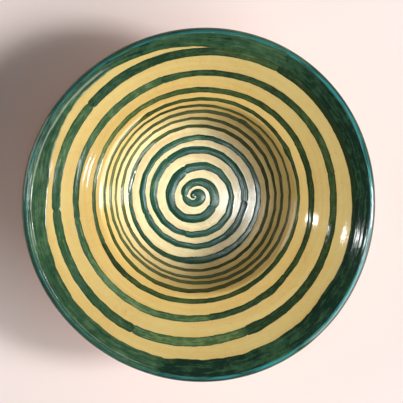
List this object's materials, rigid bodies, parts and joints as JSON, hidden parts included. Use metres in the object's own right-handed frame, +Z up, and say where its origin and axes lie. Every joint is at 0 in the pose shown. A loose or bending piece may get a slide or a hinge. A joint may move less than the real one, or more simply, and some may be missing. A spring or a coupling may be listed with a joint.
{
  "type": "hand painted ceramic dish",
  "caption": "Round ceramic dish with a deep steep-sided well, a wide flared rim with a rounded lip, a foot ring, and a line brushed in a spiral from the rim to the centre.",
  "frame": {"origin": "on the surface that the dish stands on, under the middle of its outline seen from above", "axes": "+Z up, square to the foot; +X towards the side of the rim where the brushed line leaves the rim band; the line runs anticlockwise, seen from above, as it goes inwards"},
  "size_m": [0.3186, 0.3198, 0.0842],
  "materials": {
    "bare_clay": "unglazed fired earthenware, matte, with turning marks",
    "yellow_glaze": "glossy pale yellow glaze with faint pinholes and crackle",
    "honey_glaze": "glossy honey glaze, thinner and darker than the inside",
    "rim_green": "glossy dark green brushed in overlapping lengths, turquoise where it thins on the lip",
    "line_green": "glossy green brush strokes, streaked along their length, with dark pooled edges"
  },
  "bodies": {
    "root": {"clay_body": "bare_clay", "foot_ring": "bare_clay", "ground_glaze": "yellow_glaze", "outer_glaze": "honey_glaze", "rim_band_1": "rim_green", "rim_band_2": "rim_green", "rim_band_3": "rim_green", "rim_band_4": "rim_green", "spiral_stroke_01": "line_green", "spiral_stroke_02": "line_green", "spiral_stroke_03": "line_green", "spiral_stroke_04": "line_green", "spiral_stroke_05": "line_green", "spiral_stroke_06": "line_green", "spiral_stroke_07": "line_green", "spiral_stroke_08": "line_green", "spiral_stroke_09": "line_green", "spiral_stroke_10": "line_green", "spiral_stroke_11": "line_green", "spiral_stroke_12": "line_green", "spiral_stroke_13": "line_green", "spiral_stroke_14": "line_green", "spiral_stroke_15": "line_green", "spiral_stroke_16": "line_green", "spiral_stroke_17": "line_green", "spiral_stroke_18": "line_green", "spiral_stroke_19": "line_green", "spiral_stroke_20": "line_green", "spiral_stroke_21": "line_green", "spiral_stroke_22": "line_green", "spiral_stroke_23": "line_green", "spiral_stroke_24": "line_green", "spiral_stroke_25": "line_green", "spiral_stroke_26": "line_green", "spiral_stroke_27": "line_green", "spiral_stroke_28": "line_green", "spiral_stroke_29": "line_green", "spiral_stroke_30": "line_green", "spiral_stroke_31": "line_green", "spiral_stroke_32": "line_green", "spiral_stroke_33": "line_green", "spiral_stroke_34": "line_green", "spiral_stroke_35": "line_green", "spiral_stroke_36": "line_green", "spiral_stroke_37": "line_green"}
  },
  "joints": []
}
